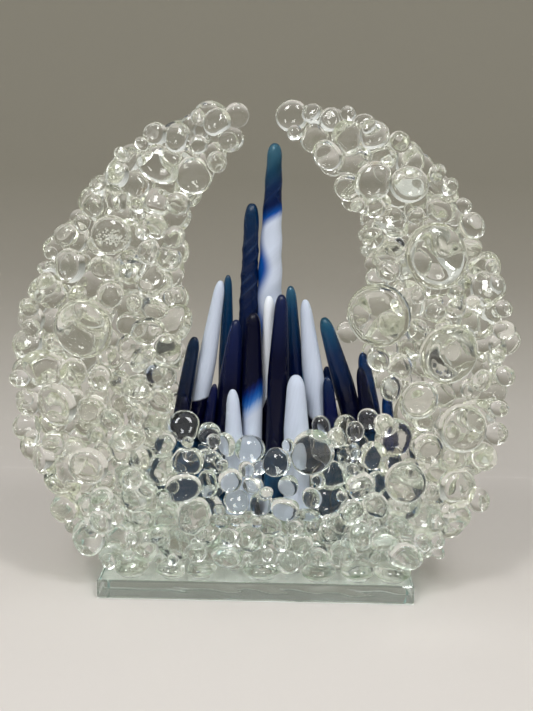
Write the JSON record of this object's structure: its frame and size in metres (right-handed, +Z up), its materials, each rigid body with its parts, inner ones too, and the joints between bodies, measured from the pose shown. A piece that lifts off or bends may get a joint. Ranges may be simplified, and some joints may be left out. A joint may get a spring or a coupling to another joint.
{
  "type": "glass wave sculpture",
  "caption": "Free-standing glass sculpture: an open crescent of clear fused nuggets cradling upright blue and white glass spikes, on a clear rectangular glass base.",
  "frame": {"origin": "centre of the base plate's underside", "axes": "+X to the right seen from the front, +Y to the back, +Z up through the spikes"},
  "size_m": [0.3186, 0.0845, 0.3092],
  "materials": {
    "float_glass": "polished faces, hand-broken front edge",
    "clear_adhesive": "cured clear film",
    "clear_glass": "fire-polished",
    "navy_glass": "satin, kiln-softened",
    "white_blue_glass": "satin opal with blue streaks"
  },
  "bodies": {
    "root": {"back_foot_nuggets": "clear_glass", "back_left_cradle_nuggets": "clear_glass", "back_middle_cradle_nuggets": "clear_glass", "back_right_cradle_nuggets": "clear_glass", "base_plate": "float_glass", "bed_nuggets": "clear_glass", "centre_navy_spike": "navy_glass", "dipped_spike": "white_blue_glass", "far_left_spike": "navy_glass", "far_right_spike": "navy_glass", "front_foot_nuggets": "clear_glass", "front_left_cradle_nuggets": "clear_glass", "front_middle_cradle_nuggets": "clear_glass", "front_right_cradle_nuggets": "clear_glass", "glue_spots": "clear_adhesive", "hidden_navy_spike": "navy_glass", "left_arm_nuggets": "clear_glass", "left_blue_spike": "navy_glass", "left_flank_nuggets": "clear_glass", "left_hip_nuggets": "clear_glass", "left_large_nuggets": "clear_glass", "left_navy_spike": "navy_glass", "left_shoulder_nuggets": "clear_glass", "left_stub": "navy_glass", "left_teal_spike": "navy_glass", "left_tip_nuggets": "clear_glass", "left_white_spike": "white_blue_glass", "outer_blue_spike": "navy_glass", "outer_navy_spike": "navy_glass", "right_arm_nuggets": "clear_glass", "right_blue_spike": "navy_glass", "right_flank_nuggets": "clear_glass", "right_hip_nuggets": "clear_glass", "right_large_nuggets": "clear_glass", "right_navy_spike": "navy_glass", "right_shoulder_nuggets": "clear_glass", "right_tip_nuggets": "clear_glass", "right_white_spike": "white_blue_glass", "slim_blue_spike": "navy_glass", "small_white_stub": "white_blue_glass", "tall_spike": "white_blue_glass", "thin_white_spike": "white_blue_glass", "twisted_spike": "navy_glass", "wide_white_stub": "white_blue_glass"}
  },
  "joints": []
}
